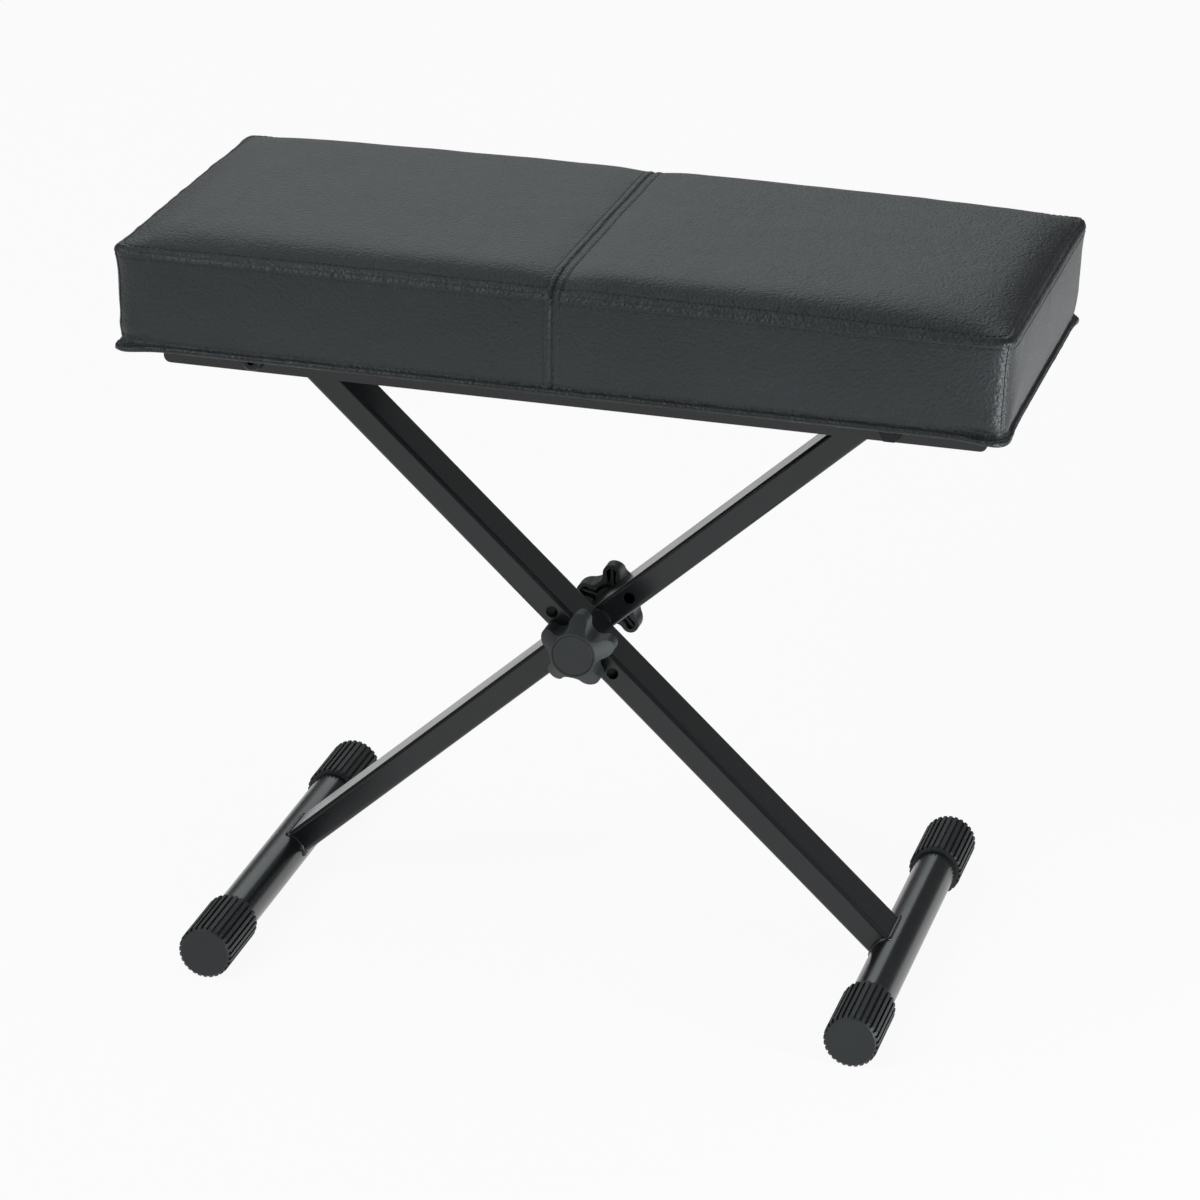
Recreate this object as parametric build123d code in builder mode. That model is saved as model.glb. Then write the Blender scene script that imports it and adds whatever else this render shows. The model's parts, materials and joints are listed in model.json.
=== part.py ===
from build123d import *
import math
import os

# Keyboard bench: padded seat on two rails, crossed legs with T-shaped tops and feet,
# a clamping bolt with two star knobs at the crossing. Sizes in millimetres, floor at z = 0,
# x along the seat, the front of the bench at negative y.

# Seat
seat_length = 610.0
seat_depth = 292.0
seat_underside = 440.0
seam_rise = 70.0
seat_corner = 14.0
cover_thick = 1.6
cover_floor = 2.0
channel_radius = 14.0
channel_depth = 5.0
crease_radius = 6.0
crease_depth = 1.2
crease_start = 8.0
board_inset = 8.0
board_thick = 12.0
board_corner = 12.0

# Outline of the cushion: height above the underside, and how far it is drawn in there
side_outline = ((0.0, 2.0), (4.0, 1.6), (7.0, 4.0), (16.0, 3.4), (48.0, 1.4), (60.0, 0.3), (seam_rise, 0.0))
# Crown: height above the seam, and how far it is drawn in as a share of the seat's depth
crown_outline = ((3.5, 0.009), (6.5, 0.031), (9.0, 0.082), (11.0, 0.192), (12.0, 0.34))
corner_growth = 0.25

# Rails under the seat, steel angle
rail_end_inset = 21.0
rail_hem_inset = 48.0
rail_size = 25.0
rail_drop = 22.0
rail_wall = 3.0
rail_end_round = 5.0
seat_bolt_inset = 29.0
seat_bolt = 6.0
seat_bolt_hole = 6.6
seat_bolt_head = 10.0
seat_bolt_head_thick = 4.0
seat_bolt_bevel = 0.5
seat_washer = 12.5
seat_washer_thick = 1.6
tee_flange = 19.0
tee_flange_thick = 1.6
tee_barrel = 8.4
tee_depth = 9.0
thread_clear = 0.05

# Top pivots
pivot_inset = 64.0
pivot_drop = 13.0
pivot_bolt = 8.0
pivot_hole = 8.4
pivot_run = 0.05
pivot_head = 15.0
pivot_head_thick = 5.0
pivot_head_rim = 1.2
pivot_socket = 5.0
pivot_washer = 16.0
pivot_washer_thick = 1.6
pivot_nut = 13.0
pivot_nut_thick = 6.5
pivot_tail = 2.0
top_bar = 19.0
top_bar_wall = 1.5
bush_flange = 1.5
bush_length = 16.0
bush_gap = 0.3

# Legs, rectangular tube on its wide side
leg_wide = 38.0
leg_thin = 19.0
leg_wall = 1.6
leg_corner = 3.0
leg_gap = 4.0
leg_setback = 4.0
hole_pitch = 30.0
hole_size = 8.4

# Feet
foot_spread = 8.0
foot_length = 356.0
foot_tube = 30.0
foot_wall = 1.6
cap_radius = 19.0
cap_length = 60.0
cap_end = 6.0
cap_chamfer = 2.2
cap_back_chamfer = 1.0
cap_ribs = 28
cap_groove = 1.9
cap_groove_depth = 1.6
cap_fit = 0.03
floor_flat = 0.1

# Crossing bolt and star knobs
knob_lobes = 5
knob_core = 16.6
lobe_offset = 20.8
lobe_radius = 6.2
lobe_blend = 7.0
lobe_turn = -86.0
knob_face = 26.0
knob_lift = 4.0
knob_shoulder = 15.7
knob_flare = 22.0
knob_edge = 1.0
knob_wall = 2.6
knob_crown = 11.4
knob_boss = 15.0
knob_web = 2.0
knob_cap = 14.5
knob_cap_thick = 1.6
knob_cap_clear = 0.1
knob_cap_bevel = 0.4
clamp_bolt = 8.0
clamp_bolt_in = 12.0
clamp_washer = 24.0
clamp_washer_thick = 2.0
inner_washer = 20.0
open_gap = 0.2

# Places worked out from the sizes above
board_length = seat_length - 2 * board_inset
board_depth = seat_depth - 2 * board_inset
rail_length = seat_length - 2 * rail_end_inset
rail_front = seat_depth / 2 - rail_hem_inset
seat_bolt_x = rail_length / 2 - seat_bolt_inset
pivot_x = rail_length / 2 - pivot_inset
pivot_z = seat_underside - pivot_drop
foot_x = pivot_x + foot_spread
foot_z = cap_radius - floor_flat
leg_dx = foot_x + pivot_x
leg_dz = foot_z - pivot_z
leg_run = math.hypot(leg_dx, leg_dz)
leg_way = (leg_dx / leg_run, 0.0, leg_dz / leg_run)
leg_y = -(leg_gap + leg_wide) / 2
leg_front = -leg_gap / 2 - leg_wide
cross_run = leg_run * pivot_x / leg_dx
cross_z = pivot_z + leg_dz * pivot_x / leg_dx
leg_plane = Plane(origin=(-pivot_x, leg_y, pivot_z), x_dir=(0, 1, 0), z_dir=leg_way)
board_top = seat_underside + cover_floor + board_thick
rail_inner = rail_front - rail_wall
seat_bolt_y = rail_front - rail_size / 2
rail_top_under = seat_underside - rail_wall
top_bar_half = rail_inner - bush_gap - bush_flange
foot_tube_half = foot_length / 2 - cap_end
knob_outer = leg_front - knob_face
knob_back = leg_front - knob_lift
seat_bolt_spots = [(sx * seat_bolt_x, sy * seat_bolt_y) for sx in (-1, 1) for sy in (-1, 1)]


def cushion_form(skin):
    """Crowned cushion with drawn-in sides and a sewn channel, kept inside the outline by the skin."""
    bottom = seat_underside + (cover_floor if skin else 0.0)
    rows = [(bottom, side_outline[0][1])]
    rows += [(seat_underside + rise, inset) for rise, inset in side_outline[1:]]
    rows += [(seat_underside + seam_rise + rise - skin, share * seat_depth) for rise, share in crown_outline]
    crown = rows[-1][0] + skin
    with BuildPart() as form:
        for height, inset in rows:
            drawn_in = 2 * (inset + skin)
            with BuildSketch(Plane.XY.offset(height)):
                RectangleRounded(seat_length - drawn_in, seat_depth - drawn_in,
                                 seat_corner + corner_growth * inset - skin)
        loft(ruled=True)
        with Locations((0, 0, crown + channel_radius - channel_depth)):
            Cylinder(channel_radius + skin, 2 * seat_depth, rotation=(90, 0, 0), mode=Mode.SUBTRACT)
        crease_y = seat_depth / 2 + crease_radius - crease_depth
        crease_z = seat_underside + crease_start
        with Locations((0, crease_y, crease_z), (0, -crease_y, crease_z)):
            Cylinder(crease_radius + skin, 2 * seam_rise, align=(Align.CENTER, Align.CENTER, Align.MIN),
                     mode=Mode.SUBTRACT)
    return form.part


def y_cylinder(radius, y_from, y_to, x, z, mode=Mode.ADD):
    """Round bar along y between two y values."""
    with Locations((x, (y_from + y_to) / 2, z)):
        Cylinder(radius, abs(y_to - y_from), rotation=(90, 0, 0), mode=mode)


def finish(builder, name):
    """Name a finished piece and write it out."""
    builder.part.label = name
    export_step(builder.part, "parts/" + name + ".step")


os.makedirs("parts", exist_ok=True)

# Seat board with its bolt holes
with BuildPart() as seat_board:
    with BuildSketch(Plane.XY.offset(seat_underside + cover_floor)):
        RectangleRounded(board_length, board_depth, board_corner)
    extrude(amount=board_thick)
    with Locations(*[(x, y, board_top) for x, y in seat_bolt_spots]):
        Cylinder(tee_barrel / 2, 4 * board_thick, mode=Mode.SUBTRACT)
finish(seat_board, "seat_board")

# Tee nuts driven into the top of the board
with BuildPart() as tee_nuts:
    with Locations(*[(x, y, board_top) for x, y in seat_bolt_spots]):
        Cylinder(tee_flange / 2, tee_flange_thick, align=(Align.CENTER, Align.CENTER, Align.MIN))
        Cylinder(tee_barrel / 2, tee_depth, align=(Align.CENTER, Align.CENTER, Align.MAX))
        Cylinder(seat_bolt / 2 + thread_clear, 4 * board_thick, mode=Mode.SUBTRACT)
finish(tee_nuts, "tee_nuts")

# Foam block around the board, with pockets for the tee nuts
with BuildPart() as cushion_foam:
    add(cushion_form(cover_thick))
    with BuildSketch(Plane.XY.offset(seat_underside + cover_floor)):
        RectangleRounded(board_length, board_depth, board_corner)
    extrude(amount=board_thick, mode=Mode.SUBTRACT)
    with Locations(*[(x, y, board_top) for x, y in seat_bolt_spots]):
        Cylinder(tee_flange / 2, tee_flange_thick, align=(Align.CENTER, Align.CENTER, Align.MIN),
                 mode=Mode.SUBTRACT)
finish(cushion_foam, "cushion_foam")

# Sewn cover, closed underneath, with holes for the seat bolts
with BuildPart() as cushion_cover:
    add(cushion_form(0.0))
    add(cushion_form(cover_thick), mode=Mode.SUBTRACT)
    with Locations(*[(x, y, seat_underside) for x, y in seat_bolt_spots]):
        Cylinder(seat_bolt_hole / 2, 2 * cover_floor, mode=Mode.SUBTRACT)
finish(cushion_cover, "cushion_cover")

# Front rail, then the rear one turned half round
with BuildPart() as front_rail:
    with BuildSketch(Plane.YZ.offset(-rail_length / 2)):
        with Locations((-rail_front, seat_underside)):
            Rectangle(rail_wall, rail_drop, align=(Align.MIN, Align.MAX))
            Rectangle(rail_size, rail_wall, align=(Align.MIN, Align.MAX))
    extrude(amount=rail_length)
    fillet(front_rail.edges().filter_by(Axis.Y).group_by(Axis.Z)[0], rail_end_round)
    for x in (-pivot_x, pivot_x):
        y_cylinder(pivot_hole / 2, -rail_front - rail_wall, -rail_inner + rail_wall, x, pivot_z, Mode.SUBTRACT)
    with Locations((-seat_bolt_x, -seat_bolt_y, seat_underside), (seat_bolt_x, -seat_bolt_y, seat_underside)):
        Cylinder(seat_bolt_hole / 2, 4 * rail_wall, mode=Mode.SUBTRACT)
finish(front_rail, "front_rail")

with BuildPart() as rear_rail:
    add(front_rail.part, rotation=(0, 0, 180))
finish(rear_rail, "rear_rail")

# Washers and hex bolts that hold the rails to the seat
with BuildPart() as seat_washers:
    with Locations(*[(x, y, rail_top_under) for x, y in seat_bolt_spots]):
        Cylinder(seat_washer / 2, seat_washer_thick, align=(Align.CENTER, Align.CENTER, Align.MAX))
        Cylinder(seat_bolt_hole / 2, 4 * seat_washer_thick, mode=Mode.SUBTRACT)
finish(seat_washers, "seat_washers")

seat_bolt_head_z = rail_top_under - seat_washer_thick
with BuildPart() as seat_bolts:
    for x, y in seat_bolt_spots:
        with BuildSketch(Plane.XY.offset(seat_bolt_head_z)):
            with Locations((x, y)):
                RegularPolygon(seat_bolt_head / 2, 6, major_radius=False)
        extrude(amount=-seat_bolt_head_thick)
    chamfer(seat_bolts.edges().group_by(Axis.Z)[0], seat_bolt_bevel)
    with Locations(*[(x, y, seat_bolt_head_z) for x, y in seat_bolt_spots]):
        Cylinder(seat_bolt / 2, board_top - seat_bolt_head_z, align=(Align.CENTER, Align.CENTER, Align.MIN))
finish(seat_bolts, "seat_bolts")

# Top pivot of the front leg: round-headed bolt from the front, nut behind; the rear leg's is turned half round
with BuildPart() as front_pivot_bolt:
    y_cylinder(pivot_head / 2, -rail_front - pivot_washer_thick - pivot_head_thick,
               -rail_front - pivot_washer_thick, -pivot_x, pivot_z)
    fillet(front_pivot_bolt.edges().group_by(Axis.Y)[0], pivot_head_thick - pivot_head_rim)
    socket_plane = Plane(origin=(-pivot_x, -rail_front - pivot_washer_thick - pivot_head_thick, pivot_z),
                         x_dir=(1, 0, 0), z_dir=(0, 1, 0))
    with BuildSketch(socket_plane):
        RegularPolygon(pivot_socket / 2, 6, major_radius=False)
    extrude(amount=pivot_head_thick / 2, mode=Mode.SUBTRACT)
    y_cylinder(pivot_bolt / 2, -rail_front - pivot_washer_thick,
               rail_front + pivot_washer_thick + pivot_nut_thick + pivot_tail, -pivot_x, pivot_z)
finish(front_pivot_bolt, "front_pivot_bolt")

with BuildPart() as rear_pivot_bolt:
    add(front_pivot_bolt.part, rotation=(0, 0, 180))
finish(rear_pivot_bolt, "rear_pivot_bolt")

with BuildPart() as pivot_washers:
    for x in (-pivot_x, pivot_x):
        for side in (-1, 1):
            y_cylinder(pivot_washer / 2, side * rail_front, side * (rail_front + pivot_washer_thick), x, pivot_z)
    for x in (-pivot_x, pivot_x):
        y_cylinder(pivot_hole / 2, -2 * rail_front, 2 * rail_front, x, pivot_z, Mode.SUBTRACT)
finish(pivot_washers, "pivot_washers")

with BuildPart() as pivot_nuts:
    for x, side in ((-pivot_x, 1), (pivot_x, -1)):
        nut_plane = Plane(origin=(x, side * (rail_front + pivot_washer_thick), pivot_z), x_dir=(1, 0, 0),
                          z_dir=(0, side, 0))
        with BuildSketch(nut_plane):
            RegularPolygon(pivot_nut / 2, 6, major_radius=False)
            Circle(pivot_bolt / 2 + thread_clear, mode=Mode.SUBTRACT)
        extrude(amount=pivot_nut_thick)
finish(pivot_nuts, "pivot_nuts")

# Front leg: top bar, bushes, tube and foot tube
with BuildPart() as front_top_bar:
    y_cylinder(top_bar / 2, -top_bar_half, top_bar_half, -pivot_x, pivot_z)
    y_cylinder(top_bar / 2 - top_bar_wall, -rail_front, rail_front, -pivot_x, pivot_z, Mode.SUBTRACT)
finish(front_top_bar, "front_top_bar")

with BuildPart() as front_bushes:
    for side in (-1, 1):
        y_cylinder(top_bar / 2, side * top_bar_half, side * (top_bar_half + bush_flange), -pivot_x, pivot_z)
        y_cylinder(top_bar / 2 - top_bar_wall, side * (top_bar_half - bush_length), side * top_bar_half,
                   -pivot_x, pivot_z)
    y_cylinder(pivot_bolt / 2 + pivot_run, -rail_front, rail_front, -pivot_x, pivot_z, Mode.SUBTRACT)
finish(front_bushes, "front_bushes")

with BuildPart() as front_foot_tube:
    y_cylinder(foot_tube / 2, -foot_tube_half, foot_tube_half, foot_x, foot_z)
    y_cylinder(foot_tube / 2 - foot_wall, -foot_length, foot_length, foot_x, foot_z, Mode.SUBTRACT)
finish(front_foot_tube, "front_foot_tube")

with BuildPart() as front_leg_tube:
    with BuildSketch(leg_plane.offset(leg_setback)):
        RectangleRounded(leg_wide, leg_thin, leg_corner)
        RectangleRounded(leg_wide - 2 * leg_wall, leg_thin - 2 * leg_wall, leg_corner - leg_wall,
                         mode=Mode.SUBTRACT)
    extrude(amount=leg_run - leg_setback)
    y_cylinder(top_bar / 2, -rail_front, rail_front, -pivot_x, pivot_z, Mode.SUBTRACT)
    y_cylinder(foot_tube / 2, -foot_length, foot_length, foot_x, foot_z, Mode.SUBTRACT)
    for step in (-1, 0, 1):
        run = cross_run + step * hole_pitch
        y_cylinder(hole_size / 2, -foot_length, foot_length, -pivot_x + run * leg_way[0],
                   pivot_z + run * leg_way[2], Mode.SUBTRACT)
finish(front_leg_tube, "front_leg_tube")

# Ribbed caps pressed on the foot tube, one rib flat on the floor
with BuildPart() as right_front_cap:
    y_cylinder(cap_radius, -foot_length / 2, -foot_length / 2 + cap_length, foot_x, foot_z)
    chamfer(right_front_cap.edges().group_by(Axis.Y)[0], cap_chamfer)
    chamfer(right_front_cap.edges().group_by(Axis.Y)[-1], cap_back_chamfer)
    cap_plane = Plane(origin=(foot_x, -foot_length / 2, foot_z), x_dir=(1, 0, 0), z_dir=(0, 1, 0))
    with BuildSketch(cap_plane):
        with PolarLocations(cap_radius, cap_ribs, start_angle=90 + 180 / cap_ribs):
            Rectangle(2 * cap_groove_depth, cap_groove)
    extrude(amount=cap_length, mode=Mode.SUBTRACT)
    y_cylinder(foot_tube / 2 + cap_fit, -foot_tube_half, 0, foot_x, foot_z, Mode.SUBTRACT)
    with Locations((foot_x, 0, 0)):
        Box(4 * cap_radius, 2 * foot_length, cap_radius, align=(Align.CENTER, Align.CENTER, Align.MAX),
            mode=Mode.SUBTRACT)
finish(right_front_cap, "right_front_cap")

with BuildPart() as right_rear_cap:
    add(mirror(right_front_cap.part, about=Plane.XZ, mode=Mode.PRIVATE))
finish(right_rear_cap, "right_rear_cap")

# Rear leg: the front leg turned half round about the upright centre line
with BuildPart() as rear_top_bar:
    add(front_top_bar.part, rotation=(0, 0, 180))
finish(rear_top_bar, "rear_top_bar")

with BuildPart() as rear_bushes:
    add(front_bushes.part, rotation=(0, 0, 180))
finish(rear_bushes, "rear_bushes")

with BuildPart() as rear_foot_tube:
    add(front_foot_tube.part, rotation=(0, 0, 180))
finish(rear_foot_tube, "rear_foot_tube")

with BuildPart() as rear_leg_tube:
    add(front_leg_tube.part, rotation=(0, 0, 180))
finish(rear_leg_tube, "rear_leg_tube")

with BuildPart() as left_rear_cap:
    add(right_front_cap.part, rotation=(0, 0, 180))
finish(left_rear_cap, "left_rear_cap")

with BuildPart() as left_front_cap:
    add(right_rear_cap.part, rotation=(0, 0, 180))
finish(left_front_cap, "left_front_cap")

# Crossing: thin washers between the legs, one with each leg, and wide ones under the knobs
with BuildPart() as front_inner_washer:
    y_cylinder(inner_washer / 2, -leg_gap / 2, -open_gap / 2, 0, cross_z)
    y_cylinder(hole_size / 2, -leg_gap, leg_gap, 0, cross_z, Mode.SUBTRACT)
finish(front_inner_washer, "front_inner_washer")

with BuildPart() as front_clamp_washer:
    y_cylinder(clamp_washer / 2, leg_front - clamp_washer_thick, leg_front, 0, cross_z)
    y_cylinder(hole_size / 2, 2 * leg_front, 0, 0, cross_z, Mode.SUBTRACT)
finish(front_clamp_washer, "front_clamp_washer")

with BuildPart() as rear_inner_washer:
    add(front_inner_washer.part, rotation=(0, 0, 180))
finish(rear_inner_washer, "rear_inner_washer")

with BuildPart() as rear_clamp_washer:
    add(front_clamp_washer.part, rotation=(0, 0, 180))
finish(rear_clamp_washer, "rear_clamp_washer")

# Front star knob: hollow behind, webs from the boss to the lobes, a seat for the round cap in its face
knob_plane = Plane(origin=(0, knob_outer, cross_z), x_dir=(1, 0, 0), z_dir=(0, 1, 0))
boss_end = leg_front - clamp_washer_thick
web_in = knob_boss / 2 - knob_wall / 2
web_out = lobe_offset + lobe_radius - knob_wall / 2
with BuildPart() as front_knob:
    with BuildSketch(knob_plane) as star:
        Circle(knob_core)
        with PolarLocations(lobe_offset, knob_lobes, start_angle=lobe_turn):
            Circle(lobe_radius)
        fillet(star.vertices(), lobe_blend)
    extrude(amount=knob_back - knob_outer)
    with Locations(knob_plane):
        Cone(knob_shoulder, knob_shoulder + knob_flare, knob_back - knob_outer,
             align=(Align.CENTER, Align.CENTER, Align.MIN), mode=Mode.INTERSECT)
    fillet(front_knob.edges().group_by(Axis.Y)[0], knob_edge)
    with BuildSketch(knob_plane.offset(knob_crown)):
        Circle(knob_core - knob_wall)
        with PolarLocations(lobe_offset, knob_lobes, start_angle=lobe_turn):
            Circle(lobe_radius - knob_wall)
        with PolarLocations(lobe_offset / 2, knob_lobes, start_angle=lobe_turn):
            Rectangle(lobe_offset, 2 * (lobe_radius - knob_wall) - knob_edge)
    extrude(amount=knob_face, mode=Mode.SUBTRACT)
    with BuildSketch(knob_plane.offset(knob_crown)):
        with PolarLocations((web_in + web_out) / 2, knob_lobes, start_angle=lobe_turn):
            Rectangle(web_out - web_in, knob_web)
    extrude(amount=knob_back - knob_outer - knob_crown - knob_web)
    y_cylinder(knob_boss / 2, knob_outer + knob_crown, boss_end, 0, cross_z)
    y_cylinder(clamp_bolt / 2, boss_end - clamp_bolt_in, boss_end, 0, cross_z, Mode.SUBTRACT)
    y_cylinder(knob_cap + knob_cap_clear, knob_outer, knob_outer + knob_cap_thick, 0, cross_z, Mode.SUBTRACT)
finish(front_knob, "front_knob")

with BuildPart() as front_knob_cap:
    y_cylinder(knob_cap, knob_outer, knob_outer + knob_cap_thick, 0, cross_z)
    chamfer(front_knob_cap.edges().group_by(Axis.Y)[0], knob_cap_bevel)
finish(front_knob_cap, "front_knob_cap")

# Clamping bolt, parted between the legs so that each half stays with its own leg
with BuildPart() as front_clamp_bolt:
    y_cylinder(clamp_bolt / 2, boss_end - clamp_bolt_in, -open_gap / 2, 0, cross_z)
finish(front_clamp_bolt, "front_clamp_bolt")

with BuildPart() as rear_knob:
    add(front_knob.part, rotation=(0, 0, 180))
finish(rear_knob, "rear_knob")

with BuildPart() as rear_knob_cap:
    add(front_knob_cap.part, rotation=(0, 0, 180))
finish(rear_knob_cap, "rear_knob_cap")

with BuildPart() as rear_clamp_bolt:
    add(front_clamp_bolt.part, rotation=(0, 0, 180))
finish(rear_clamp_bolt, "rear_clamp_bolt")
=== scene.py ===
import json
import math

import bmesh
import bpy
from mathutils import Matrix, Vector, noise
from mathutils.bvhtree import BVHTree


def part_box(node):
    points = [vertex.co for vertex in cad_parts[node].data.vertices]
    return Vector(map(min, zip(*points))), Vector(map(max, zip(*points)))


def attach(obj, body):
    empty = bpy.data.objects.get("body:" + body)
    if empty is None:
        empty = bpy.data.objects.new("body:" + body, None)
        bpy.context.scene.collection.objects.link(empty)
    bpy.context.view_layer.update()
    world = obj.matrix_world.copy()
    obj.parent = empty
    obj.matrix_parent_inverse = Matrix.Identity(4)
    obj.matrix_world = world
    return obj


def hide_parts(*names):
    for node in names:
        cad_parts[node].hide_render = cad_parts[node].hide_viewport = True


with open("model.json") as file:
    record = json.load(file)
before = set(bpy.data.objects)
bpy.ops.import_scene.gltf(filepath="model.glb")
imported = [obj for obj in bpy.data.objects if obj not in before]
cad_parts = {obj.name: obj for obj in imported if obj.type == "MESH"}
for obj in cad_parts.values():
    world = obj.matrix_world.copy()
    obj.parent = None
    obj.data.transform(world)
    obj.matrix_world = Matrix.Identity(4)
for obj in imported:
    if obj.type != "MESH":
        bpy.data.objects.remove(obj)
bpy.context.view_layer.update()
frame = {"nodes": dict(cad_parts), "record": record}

# A crossed-leg keyboard bench: a sewn, padded seat on a powder-coated steel frame.
# Metres, floor at z = 0, x along the seat, the front of the bench at negative y.

nodes = frame["nodes"]
MM = 0.001

# Sizes that come from the frame
cover_low, cover_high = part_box("cushion_cover")
SEAT_HALF_LENGTH = cover_high.x
SEAT_HALF_DEPTH = cover_high.y
SEAT_BOTTOM = cover_low.z
SEAT_TOP = cover_high.z

# Sewn cushion: the seam round the top panel, the crown above it and the boxing below it
SEAM_HEIGHT = SEAT_BOTTOM + 70 * MM
CORNER_RADIUS = 15 * MM
CROWN_RISE = SEAT_TOP - SEAM_HEIGHT
BOXING_BULGE = 3.2 * MM

# The cover's mesh before it is filled, and the share of the cloth's rise that the top takes
GRID_STEP = 8 * MM
TOP_SWELL = 5.5
FILL_FRAMES = 20
FILL_CLOTH = {
    "quality": 5, "mass": 0.3, "tension_stiffness": 8, "compression_stiffness": 8,
    "shear_stiffness": 4, "bending_stiffness": 0.4, "use_pressure": True,
    "uniform_pressure_force": 4.0,
}
HELD_BELOW = SEAT_BOTTOM + 6 * MM
ON_SEAM = 0.1 * MM

# Boxing, from the tuck above the hem up to the seam: height and how far it is drawn in
BOXING_ROWS = tuple((SEAT_BOTTOM + height * MM, drawn * MM) for height, drawn in (
    (5.2, 3.8), (9, 2.2), (16, 1.7), (24, 1.4), (32, 1.2), (40, 1.0), (48, 0.8), (56, 0.6),
    (63, 0.4))) + ((SEAM_HEIGHT, 0.0),)
# Hem flange, from the tuck down and round to the underside
HEM_ROWS = tuple((SEAT_BOTTOM + height * MM, drawn * MM) for height, drawn in (
    (4.5, 3.0), (4.1, 1.7), (3.1, 1.1), (1.4, 0.9), (0.5, 1.4), (0.15, 3.6)))
BOTTOM_PANEL_BELOW = SEAT_BOTTOM + 5.5 * MM
FLANGE_BELOW = SEAT_BOTTOM + 4.7 * MM
FLANGE_EDGE = 1.0 * MM
EAR_OUT, EAR_DROP, EAR_REACH = 2.5 * MM, 3.0 * MM, 20 * MM

# Seams pressed into the cover. Beside a seam, in millimetres: height, distance and half width of
# the padded fold, the groove and the dent of the stitches
SEAM_CUTS = tuple(cut * MM for cut in (0.7, 1.5, 2.6, 3.9, 4.7, 5.5, 6.4, 8.0))
SEAM_FORMS = ((0.55, 3.0, 1.7), (-1.1, 0.0, 0.9), (-0.35, 5.5, 0.8))
CENTRE_SEAM_SHARE, EDGE_SEAM_SHARE = 0.9, 0.5
CENTRE_SEAM_FROM = SEAT_BOTTOM + 5 * MM
UNDERSIDE_BELOW = SEAT_BOTTOM + 1.0 * MM
TOP_PANEL_FROM = SEAM_HEIGHT - 0.05 * MM
CENTRE_VALLEY, VALLEY_WIDTH, VALLEY_RUN_IN = 2.2 * MM, 16 * MM, 20 * MM
CORNER_PEAK, PEAK_REACH, PEAK_DEPTH, PEAK_LIFT = 3.0 * MM, 15 * MM, 12 * MM, 0.6

# Unevenness of the stuffed cover: pattern size and height, both in millimetres
BROAD_WAVE, BROAD_HEIGHT = 42, 0.35
SMALL_WAVE, SMALL_HEIGHT = 17, 0.18
PUCKER_ACROSS, PUCKER_ALONG, PUCKER_HEIGHT, PUCKER_REACH = 9, 40, 0.5, 11 * MM
CRUMPLE_SIZE, CRUMPLE_HEIGHT, CRUMPLE_REACH = 11, 3.6, 26 * MM
CRUMPLE_LEVEL, CRUMPLE_SPREAD = 11 * MM, 14 * MM

# Sewing thread
TOPSTITCH_OFFSET = 5.5 * MM
HEM_STITCH_HEIGHT = 2.3 * MM
STITCH_PITCH = 4.2 * MM
STITCH_LENGTH = 3.3 * MM
STITCH_RADIUS = 0.42 * MM
STITCH_LIFT = 0.1 * MM
SHORTEST_STEP, LONGEST_STEP = 0.4 * STITCH_PITCH, 2 * STITCH_PITCH
ROW_END = 6 * MM
# The cords down the corner seams are dark thread laid as painted shade for the seams' grooves
CORD_STEP = 3 * MM
CORD_LENGTH = CORD_STEP * 1.3
CORD_COUNT = 21
CORD_START = 2 * MM

# Legs and their welds
LEG_SLOPE = math.radians(42.32)
LEG_THICK = 19 * MM
WELD_RADIUS = 1.6 * MM
WELD_STEPS = 10
WELD_RIPPLE, WELD_RIPPLE_SIZE = 0.18, 3

# Studio
FLOOR_SIZE = 14
FLOOR_SHADOW = 0.07
SKY_LIGHT = 0.14
LAMP_COLOUR = "#eef6f8"

# Camera at the photograph's viewpoint
CAMERA_PLACE = (0.79911, -3.21748, 1.52026)
CAMERA_AZIMUTH = math.radians(13.9159)
CAMERA_ELEVATION = math.radians(21.0598)
CAMERA_ROLL = math.radians(1.7139)
CAMERA_LENS = 153.01
CAMERA_SENSOR = 36.0


# Small tools

def srgb(code):
    """Linear colour from an sRGB hex code."""
    parts = [int(code[i:i + 2], 16) / 255 for i in (1, 3, 5)]
    return tuple(c / 12.92 if c <= 0.04045 else ((c + 0.055) / 1.055) ** 2.4
                 for c in parts) + (1.0,)


def clear_selection():
    if bpy.context.object and bpy.context.object.mode != "OBJECT":
        bpy.ops.object.mode_set(mode="OBJECT")
    bpy.ops.object.select_all(action="DESELECT")


def make_active(obj):
    clear_selection()
    obj.select_set(True)
    bpy.context.view_layer.objects.active = obj


def apply_modifier(obj, name):
    make_active(obj)
    bpy.ops.object.modifier_apply(modifier=name)


def settle(obj):
    """Put an object's place into its mesh, with smooth shading."""
    make_active(obj)
    bpy.ops.object.transform_apply(location=True, rotation=True, scale=True)
    bpy.ops.object.shade_smooth()


def link_in(name, data):
    """A new object in the scene for some data."""
    made = bpy.data.objects.new(name, data)
    bpy.context.scene.collection.objects.link(made)
    return made


def feed(tree, node, inputs):
    """Link or set a node's inputs."""
    for key, value in inputs.items():
        socket = node.inputs[key]
        if isinstance(value, bpy.types.NodeSocket):
            tree.links.new(value, socket)
        else:
            socket.default_value = value


def add_node(tree, kind, inputs=None, **settings):
    """Add a shader node, set its fields, and link or set its inputs."""
    made = tree.nodes.new(kind)
    for key, value in settings.items():
        setattr(made, key, value)
    feed(tree, made, inputs or {})
    return made


def new_material(name):
    """An empty material with its Principled shader and Object coordinates."""
    made = bpy.data.materials.new(name)
    made.use_nodes = True
    tree = made.node_tree
    place = add_node(tree, "ShaderNodeTexCoord").outputs["Object"]
    return made, tree, tree.nodes["Principled BSDF"], place


def per_metre(size_mm):
    """Texture scale for a pattern that repeats at this size."""
    return 1.0 / (size_mm * MM)


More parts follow.
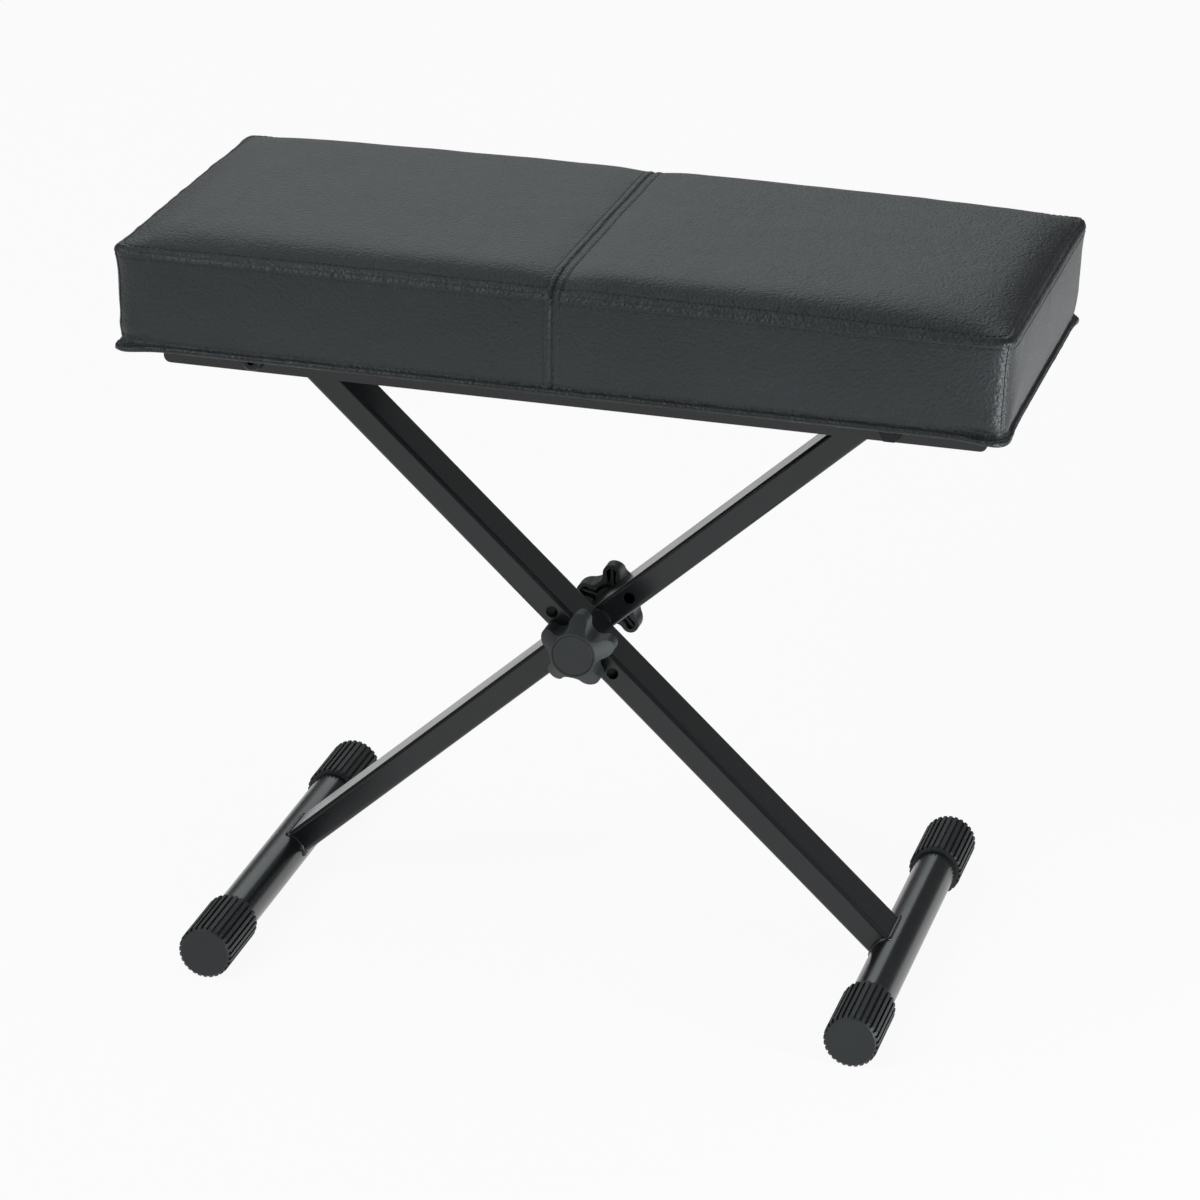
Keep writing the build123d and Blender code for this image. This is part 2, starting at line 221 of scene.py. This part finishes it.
def mottle(tree, place, size_mm, detail):
    """Noise with patches of about this size."""
    return add_node(tree, "ShaderNodeTexNoise", {
        "Vector": place, "Scale": per_metre(size_mm), "Detail": detail}).outputs["Fac"]


def two_tone(tree, factor, dark, light):
    """A colour that wanders between two sRGB codes."""
    return add_node(tree, "ShaderNodeMix", {
        "Factor": factor, 6: srgb(dark), 7: srgb(light)}, data_type="RGBA").outputs[2]


def between(tree, factor, low, high):
    """A value that wanders between two."""
    return add_node(tree, "ShaderNodeMapRange", {
        "Value": factor, "To Min": low, "To Max": high}).outputs[0]


def relief(tree, height, strength, depth_mm):
    """Relief of this depth in the surface."""
    return add_node(tree, "ShaderNodeBump", {
        "Height": height, "Strength": strength, "Distance": depth_mm * MM}).outputs[0]


def combine(tree, operation, *values):
    """A sum worked out on two or three values."""
    return add_node(tree, "ShaderNodeMath", dict(enumerate(values)),
                    operation=operation).outputs[0]


# Materials

def leatherette():
    # PVC leatherette, calendered with a pebble grain: satin black, soft broad sheen, grain that
    # breaks highlights up. The grain is drawn at 2 mm so that it shows at this distance.
    made, tree, shader, place = new_material("pvc_leatherette")
    pebble = add_node(tree, "ShaderNodeTexVoronoi", {"Vector": place, "Scale": per_metre(2.0)},
                      feature="SMOOTH_F1").outputs["Distance"]
    crease = mottle(tree, place, 1.1, 3.0)
    cloud = mottle(tree, place, 60, 4.0)
    height = combine(tree, "MULTIPLY", pebble, -0.8)
    height = combine(tree, "MULTIPLY_ADD", crease, 0.5, height)
    feed(tree, shader, {"Base Color": two_tone(tree, cloud, "#232728", "#2d3133"),
                        "Roughness": between(tree, crease, 0.36, 0.5),
                        "Normal": relief(tree, height, 1.0, 0.65),
                        "Specular IOR Level": 0.42})
    return made


def powder_coat():
    # Polyester powder coat on steel tube: semi-gloss black, with long clear highlights that a
    # faint orange peel softens.
    made, tree, shader, place = new_material("black_powder_coat")
    peel = mottle(tree, place, 1.4, 2.0)
    cloud = mottle(tree, place, 45, 3.0)
    feed(tree, shader, {"Base Color": two_tone(tree, cloud, "#161819", "#1c1e1f"),
                        "Roughness": between(tree, cloud, 0.2, 0.28),
                        "Normal": relief(tree, peel, 0.06, 0.1), "IOR": 1.5})
    return made


def moulded(name, dark, light, grit_mm, strength, rough_low, rough_high):
    """A moulded black plastic or rubber with a fine spark-eroded texture."""
    made, tree, shader, place = new_material(name)
    grit = mottle(tree, place, grit_mm, 3.0)
    cloud = mottle(tree, place, 18, 3.0)
    feed(tree, shader, {"Base Color": two_tone(tree, cloud, dark, light),
                        "Roughness": between(tree, grit, rough_low, rough_high),
                        "Normal": relief(tree, grit, strength, 0.15)})
    return made


def plated(name, dark, light, rough_low, rough_high):
    """Plated or blackened steel with faint drawing marks."""
    made, tree, shader, place = new_material(name)
    marks = mottle(tree, place, 0.8, 4.0)
    feed(tree, shader, {"Base Color": two_tone(tree, marks, dark, light),
                        "Roughness": between(tree, marks, rough_low, rough_high),
                        "Metallic": 1.0})
    return made


def plywood():
    # Birch plywood: pale yellow-brown veneer, dull, with long grain along the seat.
    made, tree, shader, place = new_material("birch_plywood")
    stretch = add_node(tree, "ShaderNodeMapping", {"Vector": place, "Scale": (0.06, 1.0, 1.0)})
    grain = mottle(tree, stretch.outputs[0], 4, 5.0)
    feed(tree, shader, {"Base Color": two_tone(tree, grain, "#a9855a", "#d2b083"),
                        "Normal": relief(tree, grain, 0.2, 0.2), "Roughness": 0.65})
    return made


def thread():
    # Bonded polyester thread: black, two-ply twist, slightly shiny.
    # The same thread makes the cords down the corner seams, which are painted shade for the seams'
    # grooves.
    made, tree, shader, place = new_material("black_thread")
    twist = mottle(tree, place, 0.6, 2.0)
    feed(tree, shader, {"Base Color": two_tone(tree, twist, "#1b1d1e", "#2c2f30"),
                        "Roughness": 0.55})
    return made


LEATHERETTE = leatherette()
POWDER_COAT = powder_coat()
# Moulded rubber: a dull, slightly grey black with a wide weak sheen along the ribs
CAP_RUBBER = moulded("ribbed_cap_rubber", "#202324", "#2a2d2e", 0.9, 0.12, 0.48, 0.62)
# Glass-filled nylon from a spark-eroded mould: matt, gritty charcoal with no sharp highlight
KNOB_PLASTIC = moulded("moulded_knob_nylon", "#262a2a", "#303434", 0.7, 0.22, 0.5, 0.64)
# The same plastic from a smoother mould: a flatter, faintly shinier disc in the knob's face
KNOB_CAP_PLASTIC = moulded("smooth_knob_cap", "#232627", "#2a2d2d", 0.7, 0.08, 0.44, 0.54)
# Plain nylon: smooth satin black
NYLON = moulded("black_nylon", "#1c1d1e", "#232526", 0.8, 0.06, 0.4, 0.5)
# Bright zinc plating: light grey metal with a blurred mirror
ZINC = plated("zinc_plated_steel", "#a8a9a6", "#c6c7c4", 0.28, 0.42)
# Black oxide on steel: dark metal with a dim, blurred mirror
BLACK_OXIDE = plated("black_oxide_steel", "#2a2b2d", "#3a3c3e", 0.36, 0.5)
PLYWOOD = plywood()
THREAD = thread()

# The foam lies inside the sewn cover and never shows
NODE_FINISH = {
    "powder_coat": POWDER_COAT, "cap_rubber": CAP_RUBBER, "knob_plastic": KNOB_PLASTIC,
    "knob_cap_plastic": KNOB_CAP_PLASTIC, "nylon": NYLON, "zinc_steel": ZINC,
    "black_steel": BLACK_OXIDE, "plywood": PLYWOOD, "foam": PLYWOOD, "leatherette": LEATHERETTE,
}
for row in frame["record"]["subparts"]:
    mesh = nodes[row["node"]].data
    mesh.materials.clear()
    mesh.materials.append(NODE_FINISH[row["material_slot"]])


# Cushion

def round_corner(x, y, half_x, half_y, radius):
    """Move a point of a square-cornered sheet on to the same sheet with round corners."""
    over_x, over_y = abs(x) - (half_x - radius), abs(y) - (half_y - radius)
    if over_x <= 0 or over_y <= 0:
        return x, y
    pull = max(over_x, over_y) / math.hypot(over_x, over_y)
    return (math.copysign(half_x - radius + over_x * pull, x),
            math.copysign(half_y - radius + over_y * pull, y))


def past_straight(x, y):
    """How far a point lies past the straight parts of the seat's outline, each way."""
    return (abs(x) - (SEAT_HALF_LENGTH - CORNER_RADIUS), abs(y) - (SEAT_HALF_DEPTH - CORNER_RADIUS))


def inset_of(x, y):
    """How far a point lies inside the seat's outline."""
    over_x, over_y = past_straight(x, y)
    return (CORNER_RADIUS - math.hypot(max(over_x, 0), max(over_y, 0))
            - min(max(over_x, over_y), 0))


def outward(x, y):
    """Outward direction of the seat's outline at the point of it nearest to this one."""
    over_x, over_y = past_straight(x, y)
    if over_x > 0 and over_y > 0:
        return Vector((math.copysign(over_x, x), math.copysign(over_y, y), 0)).normalized()
    if over_x > over_y:
        return Vector((math.copysign(1, x), 0, 0))
    return Vector((0, math.copysign(1, y), 0))


def outline_points(inset, pitch):
    """Evenly spaced points and outward directions round the seat's outline, drawn in by an inset."""
    half_x, half_y = SEAT_HALF_LENGTH - CORNER_RADIUS, SEAT_HALF_DEPTH - CORNER_RADIUS
    radius = CORNER_RADIUS - inset
    corners = ((half_x, half_y, 0), (-half_x, half_y, 90),
               (-half_x, -half_y, 180), (half_x, -half_y, 270))
    rough = []
    for centre_x, centre_y, start in corners:
        for step in range(13):
            angle = math.radians(start + 90 * step / 12)
            out = Vector((math.cos(angle), math.sin(angle), 0))
            rough.append((Vector((centre_x, centre_y, 0)) + out * radius, out))
    rough.append(rough[0])
    even, carry = [], 0.0
    for (point_a, out_a), (point_b, out_b) in zip(rough, rough[1:]):
        length = (point_b - point_a).length
        while carry < length:
            share = carry / length
            even.append((point_a.lerp(point_b, share), out_a.lerp(out_b, share).normalized()))
            carry += pitch
        carry -= length
    return even


def bisect_faces(obj, wanted, planes, normal):
    """Cut the chosen faces of a mesh along a row of parallel planes."""
    for place in planes:
        form = bmesh.from_edit_mesh(obj.data)
        for face in form.faces:
            face.select_set(wanted(face))
        form.select_flush(True)
        bmesh.update_edit_mesh(obj.data)
        bpy.ops.mesh.bisect(plane_co=Vector(normal) * place, plane_no=normal)


def cushion_blank():
    """The cover as cut and sewn, before it is filled: bottom panel, boxing and top panel."""
    clear_selection()
    bpy.ops.mesh.primitive_grid_add(x_subdivisions=round(2 * SEAT_HALF_LENGTH / GRID_STEP),
                                    y_subdivisions=round(2 * SEAT_HALF_DEPTH / GRID_STEP),
                                    size=2, location=(0, 0, BOXING_ROWS[0][0]))
    blank = bpy.context.object
    blank.name = "cushion_cover_sewn"
    blank.scale = (SEAT_HALF_LENGTH, SEAT_HALF_DEPTH, 1)
    settle(blank)
    bpy.ops.object.mode_set(mode="EDIT")
    bpy.ops.mesh.select_all(action="SELECT")
    for lower, upper in zip(BOXING_ROWS, BOXING_ROWS[1:]):
        rise = (0, 0, upper[0] - lower[0])
        bpy.ops.mesh.extrude_region_move(TRANSFORM_OT_translate={"value": rise})
    bpy.ops.mesh.select_all(action="SELECT")
    bpy.ops.mesh.normals_make_consistent(inside=False)
    bpy.ops.object.mode_set(mode="OBJECT")
    for vert in blank.data.vertices:
        x, y = round_corner(vert.co.x, vert.co.y, SEAT_HALF_LENGTH, SEAT_HALF_DEPTH, CORNER_RADIUS)
        drawn = min(BOXING_ROWS, key=lambda row: abs(row[0] - vert.co.z))[1]
        out = outward(x, y) * (drawn if inset_of(x, y) < GRID_STEP / 3 else 0.0)
        vert.co.x, vert.co.y = x - out.x, y - out.y
    return blank


def is_sewn(co):
    """Whether a point of the blank is held: the bottom panel, the hem or the top seam."""
    if co.z < HELD_BELOW:
        return True
    return inset_of(co.x, co.y) < ON_SEAM and co.z > SEAM_HEIGHT - ON_SEAM


def fill(blank):
    """Let foam pressure swell the panels between their seams."""
    sewn = [vert.co.copy() for vert in blank.data.vertices]
    held = blank.vertex_groups.new(name="sewn")
    held.add([i for i, co in enumerate(sewn) if is_sewn(co)], 1.0, "REPLACE")
    cloth = blank.modifiers.new("swell", "CLOTH")
    for key, value in FILL_CLOTH.items():
        setattr(cloth.settings, key, value)
    cloth.settings.vertex_group_mass = "sewn"
    cloth.settings.effector_weights.gravity = 0.0
    cloth.collision_settings.use_collision = False
    cloth.point_cache.frame_start = 1
    cloth.point_cache.frame_end = FILL_FRAMES
    for step in range(1, FILL_FRAMES + 1):
        bpy.context.scene.frame_set(step)
    apply_modifier(blank, "swell")
    bpy.context.scene.frame_set(1)
    for vert, start in zip(blank.data.vertices, sewn):
        move = vert.co - start
        if start.z > SEAM_HEIGHT - ON_SEAM:
            rise = max(move.z, 0.0) * TOP_SWELL
            vert.co = start + Vector((0, 0, CROWN_RISE * math.tanh(rise / CROWN_RISE)))
        else:
            out = outward(start.x, start.y)
            bulge = max(move.dot(out), 0.0)
            vert.co = start + out * (BOXING_BULGE * math.tanh(bulge / BOXING_BULGE))


def fade(distance, reach):
    """One at no distance, falling to nothing beyond the reach."""
    return math.exp(-(distance / reach) ** 2)


def corner_nearness(x, y, reach):
    """One at the seat's square corner, falling to nothing beyond the reach."""
    return fade(math.hypot(SEAT_HALF_LENGTH - abs(x), SEAT_HALF_DEPTH - abs(y)), reach)


def hem_flange(cover):
    """Turn the cover's lower edge out into the hem flange, with ears at the corners."""
    make_active(cover)
    bpy.ops.object.mode_set(mode="EDIT")
    form = bmesh.from_edit_mesh(cover.data)
    for face in form.faces:
        low = face.calc_center_median().z < BOTTOM_PANEL_BELOW
        face.select_set(low and face.normal.z < -0.5)
    bmesh.update_edit_mesh(cover.data)
    before = BOXING_ROWS[0]
    for row in HEM_ROWS:
        bpy.ops.mesh.extrude_region_move()
        form = bmesh.from_edit_mesh(cover.data)
        for vert in form.verts:
            if vert.select:
                vert.co.z = row[0]
                if inset_of(vert.co.x, vert.co.y) < before[1] + FLANGE_EDGE:
                    vert.co += outward(vert.co.x, vert.co.y) * (before[1] - row[1])
        bmesh.update_edit_mesh(cover.data)
        before = row
    bpy.ops.object.mode_set(mode="OBJECT")
    for vert in cover.data.vertices:
        if vert.co.z < FLANGE_BELOW:
            near = corner_nearness(vert.co.x, vert.co.y, EAR_REACH)
            vert.co += outward(vert.co.x, vert.co.y) * EAR_OUT * near
            vert.co.z -= EAR_DROP * near


def seam_profile(distance):
    """Height of the cover beside a topstitched seam."""
    return MM * sum(height * fade(distance / MM - place, width)
                    for height, place, width in SEAM_FORMS)


def cut_seams(cover):
    """Give the filled cover the narrow columns of faces that its seams need."""
    both_ways = [(cut, side) for cut in SEAM_CUTS for side in (-1, 1)]
    ends = [side * (SEAT_HALF_LENGTH - cut) for cut, side in both_ways]
    edges = [side * (SEAT_HALF_DEPTH - cut) for cut, side in both_ways]
    below_seam = [SEAM_HEIGHT - cut for cut in SEAM_CUTS]
    centre = [side * cut for cut, side in both_ways] + [0.0]
    make_active(cover)
    bpy.ops.object.mode_set(mode="EDIT")
    bisect_faces(cover, lambda face: face.normal.z > 0.2, ends, (1, 0, 0))
    bisect_faces(cover, lambda face: face.normal.z > 0.2, edges, (0, 1, 0))
    bisect_faces(cover, lambda face: abs(face.normal.z) < 0.3, below_seam, (0, 0, 1))
    bisect_faces(cover, lambda face: face.normal.z > -0.3, centre, (1, 0, 0))
    bpy.ops.object.mode_set(mode="OBJECT")


def unevenness(co, to_seam):
    """Waves of the stuffing, puckers along the seams and the crumpled foot of each corner."""
    flow = noise.noise(co * per_metre(BROAD_WAVE)) * BROAD_HEIGHT
    flow += noise.noise(co * per_metre(SMALL_WAVE)) * SMALL_HEIGHT
    across, along = per_metre(PUCKER_ACROSS), per_metre(PUCKER_ALONG)
    drawn = noise.noise(Vector((co.x * across, co.y * across, co.z * along)))
    flow += drawn * PUCKER_HEIGHT * fade(min(to_seam, co.z - SEAT_BOTTOM), PUCKER_REACH)
    crumple = (corner_nearness(co.x, co.y, CRUMPLE_REACH)
               * fade(co.z - SEAT_BOTTOM - CRUMPLE_LEVEL, CRUMPLE_SPREAD))
    flow += noise.noise(co * per_metre(CRUMPLE_SIZE)) * CRUMPLE_HEIGHT * crumple
    return flow * MM


def sew(cover):
    """Press the seams into the filled cover and pucker it where the thread draws it in."""
    cut_seams(cover)
    normals = [vert.normal.copy() for vert in cover.data.vertices]
    places = [vert.co.copy() for vert in cover.data.vertices]
    for vert, normal, co in zip(cover.data.vertices, normals, places):
        if co.z < UNDERSIDE_BELOW and normal.z < -0.5:
            continue
        inset = inset_of(co.x, co.y)
        on_top = co.z > TOP_PANEL_FROM
        to_seam = inset if on_top else SEAM_HEIGHT - co.z
        shift = EDGE_SEAM_SHARE * seam_profile(to_seam)
        if co.z > CENTRE_SEAM_FROM:
            shift += CENTRE_SEAM_SHARE * seam_profile(abs(co.x))
        if on_top:
            shift -= CENTRE_VALLEY * fade(co.x, VALLEY_WIDTH) * min(inset / VALLEY_RUN_IN, 1.0)
        vert.co = co + normal * (shift + unevenness(co, to_seam))
        peak = CORNER_PEAK * corner_nearness(co.x, co.y, PEAK_REACH) * fade(to_seam, PEAK_DEPTH)
        vert.co += outward(co.x, co.y) * peak + Vector((0, 0, PEAK_LIFT * peak))


cushion = cushion_blank()
fill(cushion)
hem_flange(cushion)
settle(cushion)
smoothing = cushion.modifiers.new("fullness", "SUBSURF")
smoothing.levels = smoothing.render_levels = 1
apply_modifier(cushion, "fullness")
sew(cushion)
settle(cushion)
cushion.data.materials.append(LEATHERETTE)
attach(cushion, "seat")
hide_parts("cushion_cover", "cushion_foam")


# Stitches

def skin_hits(rays):
    """Where rays from outside meet the sewn cover."""
    tree = BVHTree.FromPolygons([vert.co for vert in cushion.data.vertices],
                                [face.vertices[:] for face in cushion.data.polygons])
    hits = [tree.ray_cast(start, aim) for start, aim in rays]
    return [(hit[0], hit[1]) for hit in hits if hit[0] is not None]


def one_stitch(length):
    """One stitch of thread, lying along x."""
    clear_selection()
    bpy.ops.mesh.primitive_uv_sphere_add(segments=6, ring_count=5, radius=1)
    made = bpy.context.object
    made.rotation_euler = (0, math.pi / 2, 0)
    settle(made)
    made.scale = (length / 2, STITCH_RADIUS, STITCH_RADIUS)
    settle(made)
    return made


def stitch_row(name, rays, length=STITCH_LENGTH):
    """A row of stitches laid on the cover along a run of rays."""
    model = one_stitch(length)
    hits = skin_hits(rays)
    points, faces = [], []
    shape = [vert.co.copy() for vert in model.data.vertices]
    polygons = [face.vertices[:] for face in model.data.polygons]
    for (here, normal), (there, _) in zip(hits, hits[1:]):
        along = there - here
        if not SHORTEST_STEP < along.length < LONGEST_STEP:
            continue
        along.normalize()
        across = normal.cross(along).normalized()
        up = along.cross(across)
        centre = (here + there) / 2 + up * STITCH_LIFT
        base = len(points)
        points += [centre + along * co.x + across * co.y + up * co.z for co in shape]
        faces += [[base + i for i in polygon] for polygon in polygons]
    bpy.data.objects.remove(model)
    mesh = bpy.data.meshes.new(name)
    mesh.from_pydata(points, [], faces)
    row = link_in(name, mesh)
    settle(row)
    mesh.materials.append(THREAD)
    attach(row, "seat")


def steps(low, high):
    """Evenly spaced places about a stitch apart, both ends included."""
    count = int((high - low) / STITCH_PITCH)
    return [low + (high - low) * i / count for i in range(count + 1)]


def rays_round(height):
    """Rays in to the seat's sides, all round, at one height."""
    return [(point + out * OFF_SIDE + Vector((0, 0, height)), -out)
            for point, out in outline_points(0, STITCH_PITCH)]


DOWN = Vector((0, 0, -1))
ABOVE_SEAT, IN_FRONT_OF_SEAT, OFF_SIDE, OFF_CORNER = 0.6, 0.3, 0.05, 0.08
stitch_row("top_edge_stitches", [(point + Vector((0, 0, ABOVE_SEAT)), DOWN)
                                 for point, out in outline_points(TOPSTITCH_OFFSET, STITCH_PITCH)])
stitch_row("boxing_stitches", rays_round(SEAM_HEIGHT - TOPSTITCH_OFFSET))
stitch_row("hem_stitches", rays_round(SEAT_BOTTOM + HEM_STITCH_HEIGHT))
for side, mark in ((-1, "left"), (1, "right")):
    x = side * TOPSTITCH_OFFSET
    run = steps(-SEAT_HALF_DEPTH + ROW_END, SEAT_HALF_DEPTH - ROW_END)
    stitch_row("centre_stitches_" + mark, [(Vector((x, y, ABOVE_SEAT)), DOWN) for y in run])
    run = steps(SEAT_BOTTOM + ROW_END, SEAM_HEIGHT - ROW_END)
    for end, way in (("front", -1), ("back", 1)):
        stitch_row("boxing_centre_" + mark + "_" + end,
                   [(Vector((x, way * IN_FRONT_OF_SEAT, z)), Vector((0, -way, 0))) for z in run])


# Corner seams, drawn tight from the top seam down to the hem, as cords of dark thread: painted shade
# for each seam's groove
for side_x, mark in ((-1, "left"), (1, "right")):
    for side_y, end in ((-1, "front"), (1, "back")):
        away = Vector((side_x, side_y, 0)).normalized()
        foot = Vector((side_x * (SEAT_HALF_LENGTH - CORNER_RADIUS),
                       side_y * (SEAT_HALF_DEPTH - CORNER_RADIUS), 0))
        heights = [SEAM_HEIGHT - CORD_START - i * CORD_STEP for i in range(CORD_COUNT)]
        stitch_row("corner_seam_shade_cord_" + mark + "_" + end,
                   [(foot + away * OFF_CORNER + Vector((0, 0, z)), -away) for z in heights],
                   CORD_LENGTH)


# Weld beads where each leg meets its foot tube

def weld_bead(name, body, leg_node, foot_node):
    """A ring of weld where a flat tube, sloping in the plane of x and z, stands on a round tube."""
    leg_low, leg_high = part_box(leg_node)
    foot_low, foot_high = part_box(foot_node)
    foot = (foot_low + foot_high) / 2
    tube_radius = (foot_high.z - foot_low.z) / 2
    along = Vector((math.copysign(math.cos(LEG_SLOPE), foot.x), 0, -math.sin(LEG_SLOPE)))
    across = Vector((-along.z, 0, along.x))
    centre_y = (leg_low.y + leg_high.y) / 2
    half_wide, half_thick = (leg_high.y - leg_low.y) / 2, LEG_THICK / 2
    corners = ((-1, -1), (1, -1), (1, 1), (-1, 1))
    path = []
    for start, end in zip(corners, corners[1:] + corners[:1]):
        for step in range(WELD_STEPS):
            u = (start[0] + (end[0] - start[0]) * step / WELD_STEPS) * half_wide
            v = (start[1] + (end[1] - start[1]) * step / WELD_STEPS) * half_thick
            drop = math.sqrt(tube_radius ** 2 - v ** 2)
            path.append(Vector((foot.x, centre_y + u, foot.z)) + across * v - along * drop)
    line = bpy.data.curves.new(name, "CURVE")
    line.dimensions = "3D"
    line.bevel_depth = WELD_RADIUS
    line.bevel_resolution = 2
    spline = line.splines.new("POLY")
    spline.points.add(len(path) - 1)
    for point, place in zip(spline.points, path):
        point.co = (*place, 1)
        point.radius = 1 + WELD_RIPPLE * noise.noise(place * per_metre(WELD_RIPPLE_SIZE))
    spline.use_cyclic_u = True
    make_active(link_in(name, line))
    bpy.ops.object.convert(target="MESH")
    bead = bpy.context.object
    settle(bead)
    bead.data.materials.append(POWDER_COAT)
    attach(bead, body)


weld_bead("front_leg_weld", "front_leg", "front_leg_tube", "front_foot_tube")
weld_bead("rear_leg_weld", "rear_leg", "rear_leg_tube", "rear_foot_tube")


# Studio

def backdrop_white(name, shadow_share):
    # White paper: white to the eye and in reflections, and it still takes a soft shadow.
    made = bpy.data.materials.new(name)
    made.use_nodes = True
    tree = made.node_tree
    tree.nodes.clear()
    path = add_node(tree, "ShaderNodeLightPath").outputs
    seen = combine(tree, "MAXIMUM", path["Is Camera Ray"], path["Is Glossy Ray"])
    seen = combine(tree, "MAXIMUM", seen, path["Is Transmission Ray"])
    share = combine(tree, "MULTIPLY", seen, 1.0 - shadow_share)
    paint = add_node(tree, "ShaderNodeBsdfDiffuse", {"Color": srgb("#f4f4f4")})
    glow = add_node(tree, "ShaderNodeEmission", {"Color": srgb("#ffffff"), "Strength": 1.0})
    mix = add_node(tree, "ShaderNodeMixShader",
                   {0: share, 1: paint.outputs[0], 2: glow.outputs[0]})
    add_node(tree, "ShaderNodeOutputMaterial", {"Surface": mix.outputs[0]})
    return made


clear_selection()
bpy.ops.mesh.primitive_plane_add(size=FLOOR_SIZE, location=(0, 0, 0))
floor = bpy.context.object
floor.name = "studio_floor"
floor.data.materials.append(backdrop_white("white_paper", FLOOR_SHADOW))

world = bpy.data.worlds.new("studio")
bpy.context.scene.world = world
world.use_nodes = True
sky = world.node_tree
sky.nodes.clear()
ray = add_node(sky, "ShaderNodeLightPath")
dim, white = (add_node(sky, "ShaderNodeBackground", {"Color": srgb("#ffffff"), "Strength": light})
              for light in (SKY_LIGHT, 1.0))
both = add_node(sky, "ShaderNodeMixShader", {
    0: ray.outputs["Is Camera Ray"], 1: dim.outputs[0], 2: white.outputs[0]})
add_node(sky, "ShaderNodeOutputWorld", {"Surface": both.outputs[0]})


def softbox(name, place, aim, width, height, power):
    """A soft rectangular studio light aimed at a point."""
    lamp = bpy.data.lights.new(name, "AREA")
    lamp.shape = "RECTANGLE"
    lamp.size, lamp.size_y, lamp.energy = width, height, power
    lamp.color = srgb(LAMP_COLOUR)[:3]
    holder = link_in(name, lamp)
    holder.location = place
    holder.rotation_euler = (Vector(aim) - Vector(place)).to_track_quat("-Z", "Y").to_euler()


softbox("overhead", (-0.6, -0.2, 2.6), aim=(0, 0, 0.4), width=2.0, height=1.6, power=12)
softbox("back_left", (-0.9, 2.8, 1.9), aim=(0, 0, 0.5), width=2.4, height=1.4, power=15)
softbox("front_left", (-1.9, -2.2, 2.1), aim=(-0.15, 0, 0.45), width=1.2, height=1.2, power=44)
softbox("right_strip", (1.15, -0.42, 0.16), aim=(0.29, -0.14, 0.47),
        width=0.36, height=0.6, power=15)

camera_data = bpy.data.cameras.new("camera")
camera = link_in("camera", camera_data)
camera_data.sensor_width = CAMERA_SENSOR
camera_data.lens = CAMERA_LENS
back = Vector((math.sin(CAMERA_AZIMUTH) * math.cos(CAMERA_ELEVATION),
               -math.cos(CAMERA_AZIMUTH) * math.cos(CAMERA_ELEVATION),
               math.sin(CAMERA_ELEVATION)))
level = Vector((math.cos(CAMERA_AZIMUTH), math.sin(CAMERA_AZIMUTH), 0))
upright = back.cross(level)
right = level * math.cos(CAMERA_ROLL) + upright * math.sin(CAMERA_ROLL)
top = upright * math.cos(CAMERA_ROLL) - level * math.sin(CAMERA_ROLL)
camera.location = CAMERA_PLACE
camera.rotation_euler = Matrix((right, top, back)).transposed().to_euler()
bpy.context.scene.camera = camera
bpy.context.scene.view_settings.view_transform = "Standard"
